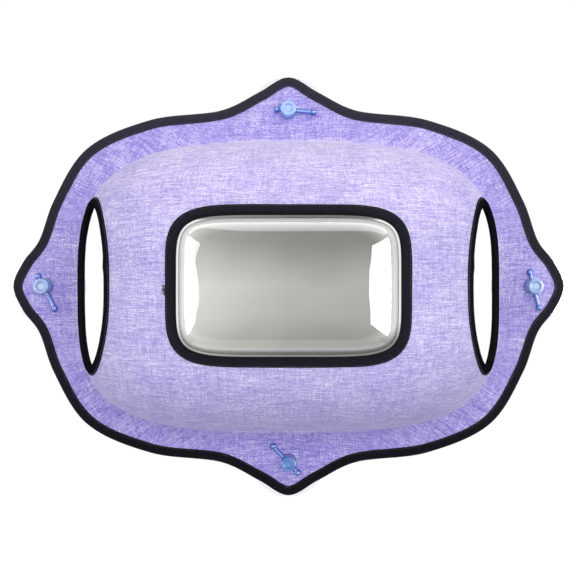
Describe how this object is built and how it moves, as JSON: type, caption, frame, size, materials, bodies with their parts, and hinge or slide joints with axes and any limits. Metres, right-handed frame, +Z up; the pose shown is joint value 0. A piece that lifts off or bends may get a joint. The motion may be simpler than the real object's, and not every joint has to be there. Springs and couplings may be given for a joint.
{
  "type": "window mounted cat perch",
  "caption": "Padded fabric pod with a clear bubble window and two side entries, held on a window pane by suction cups that are locked with pins.",
  "frame": {"origin": "middle of the pattern of suction cups, on the glass", "axes": "+X to the right as seen from the room, +Y out through the glass, +Z up"},
  "size_m": [0.7003, 0.2784, 0.5308],
  "materials": {
    "cover_fabric": "heathered lilac polyester weave, matte",
    "eva_foam": "closed cell EVA foam",
    "lining_fabric": "plain knitted polyester, matte",
    "binding_tape": "black folded elastic binding tape",
    "clear_bubble": "clear vacuum formed sheet with a faint smoke tint",
    "clear_pvc": "clear soft PVC with a pale blue cast",
    "blue_pin": "clear blue moulded plastic"
  },
  "bodies": {
    "pod": {"outer_cover": "cover_fabric", "foam_core": "eva_foam", "inner_lining": "lining_fabric", "rim_binding": "binding_tape", "left_entry_binding": "binding_tape", "right_entry_binding": "binding_tape", "window_binding": "binding_tape", "window_bubble": "clear_bubble"},
    "cup_top": {"suction_cup_top": "clear_pvc"},
    "pin_top": {"lock_pin_top": "blue_pin"},
    "cup_right": {"suction_cup_right": "clear_pvc"},
    "pin_right": {"lock_pin_right": "blue_pin"},
    "cup_bottom": {"suction_cup_bottom": "clear_pvc"},
    "pin_bottom": {"lock_pin_bottom": "blue_pin"},
    "cup_left": {"suction_cup_left": "clear_pvc"},
    "pin_left": {"lock_pin_left": "blue_pin"}
  },
  "joints": [
    {"name": "cup_turn_top", "type": "hinge", "parent": "pod", "child": "cup_top", "pos_m": [0, 0, 0.218], "axis": [0, 1, 0], "continuous": true},
    {"name": "pin_slide_top", "type": "slide", "parent": "cup_top", "child": "pin_top", "axis": [0.9968, 0, -0.0802], "range_m": [-0.0182, 0.0018]},
    {"name": "cup_turn_right", "type": "hinge", "parent": "pod", "child": "cup_right", "pos_m": [0.303, 0, 0], "axis": [0, 1, 0], "continuous": true},
    {"name": "pin_slide_right", "type": "slide", "parent": "cup_right", "child": "pin_right", "axis": [0.2521, 0, -0.9677], "range_m": [-0.0145, 0.00549]},
    {"name": "cup_turn_bottom", "type": "hinge", "parent": "pod", "child": "cup_bottom", "pos_m": [0, 0, -0.218], "axis": [0, 1, 0], "continuous": true},
    {"name": "pin_slide_bottom", "type": "slide", "parent": "cup_bottom", "child": "pin_bottom", "axis": [-0.6845, 0, 0.729], "range_m": [-0.0155, 0.0045]},
    {"name": "cup_turn_left", "type": "hinge", "parent": "pod", "child": "cup_left", "pos_m": [-0.303, 0, 0], "axis": [0, 1, 0], "continuous": true},
    {"name": "pin_slide_left", "type": "slide", "parent": "cup_left", "child": "pin_left", "axis": [0.4587, 0, -0.8886], "range_m": [-0.0182, 0.0018]}
  ]
}
